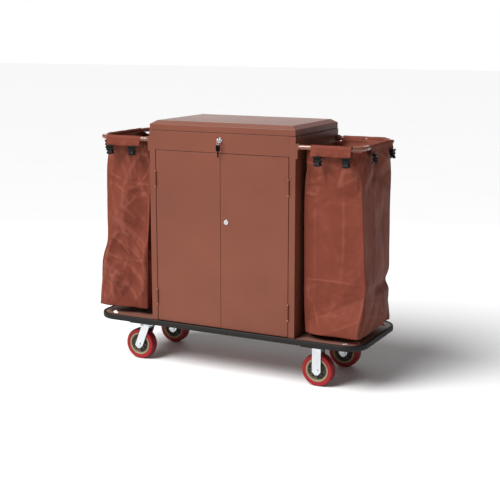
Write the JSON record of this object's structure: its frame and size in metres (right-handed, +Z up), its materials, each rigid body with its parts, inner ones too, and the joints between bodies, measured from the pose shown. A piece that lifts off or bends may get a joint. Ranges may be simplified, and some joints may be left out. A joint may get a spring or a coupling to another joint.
{
  "type": "housekeeping cart",
  "caption": "Hotel housekeeping cart: a lidded steel cabinet with two doors on a wheeled deck, with a hanging cloth bag on a tube frame at each end.",
  "frame": {"origin": "on the floor, under the centre of the deck", "axes": "+X along the cart towards the fixed-caster end, +Y to the back, +Z up; the doors face -Y"},
  "size_m": [1.38, 0.5196, 1.1685],
  "materials": {
    "brown_enamel": "textured brown powder coat, satin",
    "tube_enamel": "glossy brown enamel",
    "dark_enamel": "black primer",
    "black_rubber": "matt black extruded rubber",
    "bag_cloth": "woven coated nylon",
    "black_plastic": "moulded black nylon",
    "red_polyurethane": "moulded red polyurethane",
    "wheel_core": "grey-olive nylon",
    "chrome": "bright chrome plate",
    "brass": "brass",
    "zinc": "bright zinc plate"
  },
  "bodies": {
    "root": {"deck_tray": "brown_enamel", "deck_bumper": "black_rubber", "deck_crossmembers": "dark_enamel", "cabinet_left_side": "brown_enamel", "cabinet_right_side": "brown_enamel", "cabinet_back": "brown_enamel", "cabinet_floor": "brown_enamel", "front_rail": "brown_enamel", "well_floor": "brown_enamel", "lower_shelf": "brown_enamel", "upper_shelf": "brown_enamel", "magnetic_catches": "black_plastic", "frame_hinge_leaves": "brown_enamel", "door_hinge_pins": "brass", "lid_lock_barrel": "chrome", "lid_hinge_fixed_leaf": "brown_enamel", "lid_hinge_pin": "zinc", "left_bag_frame": "tube_enamel", "right_bag_frame": "tube_enamel", "left_bag": "bag_cloth", "right_bag": "bag_cloth", "left_bag_clips": "black_plastic", "right_bag_clips": "black_plastic", "bag_frame_brackets": "brown_enamel", "bracket_rivets": "brown_enamel", "front_fixed_fork": "zinc", "rear_fixed_fork": "zinc", "fixed_axles": "zinc", "swivel_plates": "zinc", "kingpins": "zinc", "caster_bolts": "zinc"},
    "lid": {"lid": "brown_enamel", "lid_buffers": "black_rubber", "lid_striker": "brown_enamel", "lid_hinge_leaf": "brown_enamel"},
    "left_door": {"left_door": "brown_enamel", "left_door_hinge_leaves": "brown_enamel"},
    "right_door": {"right_door": "brown_enamel", "right_door_hinge_leaves": "brown_enamel", "door_lock_barrel": "chrome"},
    "lid_lock": {"lid_lock_plug": "chrome", "lid_lock_cam": "chrome", "lid_key": "chrome"},
    "key_ring": {"key_ring": "chrome", "spare_key": "black_plastic"},
    "door_lock": {"door_lock_plug": "chrome", "door_lock_cam": "chrome"},
    "front_swivel": {"front_swivel_fork": "zinc", "front_swivel_axle": "zinc"},
    "front_swivel_wheel": {"front_swivel_tyre": "red_polyurethane", "front_swivel_wheel_core": "wheel_core"},
    "front_fixed_wheel": {"front_fixed_tyre": "red_polyurethane", "front_fixed_wheel_core": "wheel_core"},
    "rear_swivel": {"rear_swivel_fork": "zinc", "rear_swivel_axle": "zinc"},
    "rear_swivel_wheel": {"rear_swivel_tyre": "red_polyurethane", "rear_swivel_wheel_core": "wheel_core"},
    "rear_fixed_wheel": {"rear_fixed_tyre": "red_polyurethane", "rear_fixed_wheel_core": "wheel_core"}
  },
  "joints": [
    {"name": "lid_hinge", "type": "hinge", "parent": "root", "child": "lid", "pos_m": [0, 0.243, 1.12475], "axis": [-1, 0, 0], "range_deg": [0, 100]},
    {"name": "left_door_hinge", "type": "hinge", "parent": "root", "child": "left_door", "pos_m": [-0.3385, -0.243, 0.622], "axis": [0, 0, -1], "range_deg": [0, 120]},
    {"name": "right_door_hinge", "type": "hinge", "parent": "root", "child": "right_door", "pos_m": [0.3385, -0.243, 0.622], "axis": [0, 0, 1], "range_deg": [0, 120]},
    {"name": "lid_lock_turn", "type": "hinge", "parent": "root", "child": "lid_lock", "pos_m": [0, -0.23, 1.093], "axis": [0, -1, 0], "range_deg": [0, 90]},
    {"name": "door_lock_turn", "type": "hinge", "parent": "right_door", "child": "door_lock", "pos_m": [0.03, -0.23, 0.725], "axis": [0, 1, 0], "range_deg": [0, 90]},
    {"name": "key_ring_swing", "type": "hinge", "parent": "lid_lock", "child": "key_ring", "pos_m": [0, -0.259, 1.093], "axis": [0.6428, 0.766, 0], "range_deg": [-25, 10]},
    {"name": "front_swivel_turn", "type": "hinge", "parent": "root", "child": "front_swivel", "pos_m": [-0.444, -0.159, 0.18], "axis": [0, 0, 1], "continuous": true},
    {"name": "front_swivel_wheel_spin", "type": "hinge", "parent": "front_swivel", "child": "front_swivel_wheel", "pos_m": [-0.484, -0.159, 0.075], "axis": [0, 1, 0], "continuous": true},
    {"name": "front_fixed_wheel_spin", "type": "hinge", "parent": "root", "child": "front_fixed_wheel", "pos_m": [0.457, -0.159, 0.075], "axis": [0, 1, 0], "continuous": true},
    {"name": "rear_swivel_turn", "type": "hinge", "parent": "root", "child": "rear_swivel", "pos_m": [-0.444, 0.159, 0.18], "axis": [0, 0, 1], "continuous": true},
    {"name": "rear_swivel_wheel_spin", "type": "hinge", "parent": "rear_swivel", "child": "rear_swivel_wheel", "pos_m": [-0.484, 0.159, 0.075], "axis": [0, 1, 0], "continuous": true},
    {"name": "rear_fixed_wheel_spin", "type": "hinge", "parent": "root", "child": "rear_fixed_wheel", "pos_m": [0.457, 0.159, 0.075], "axis": [0, 1, 0], "continuous": true}
  ]
}
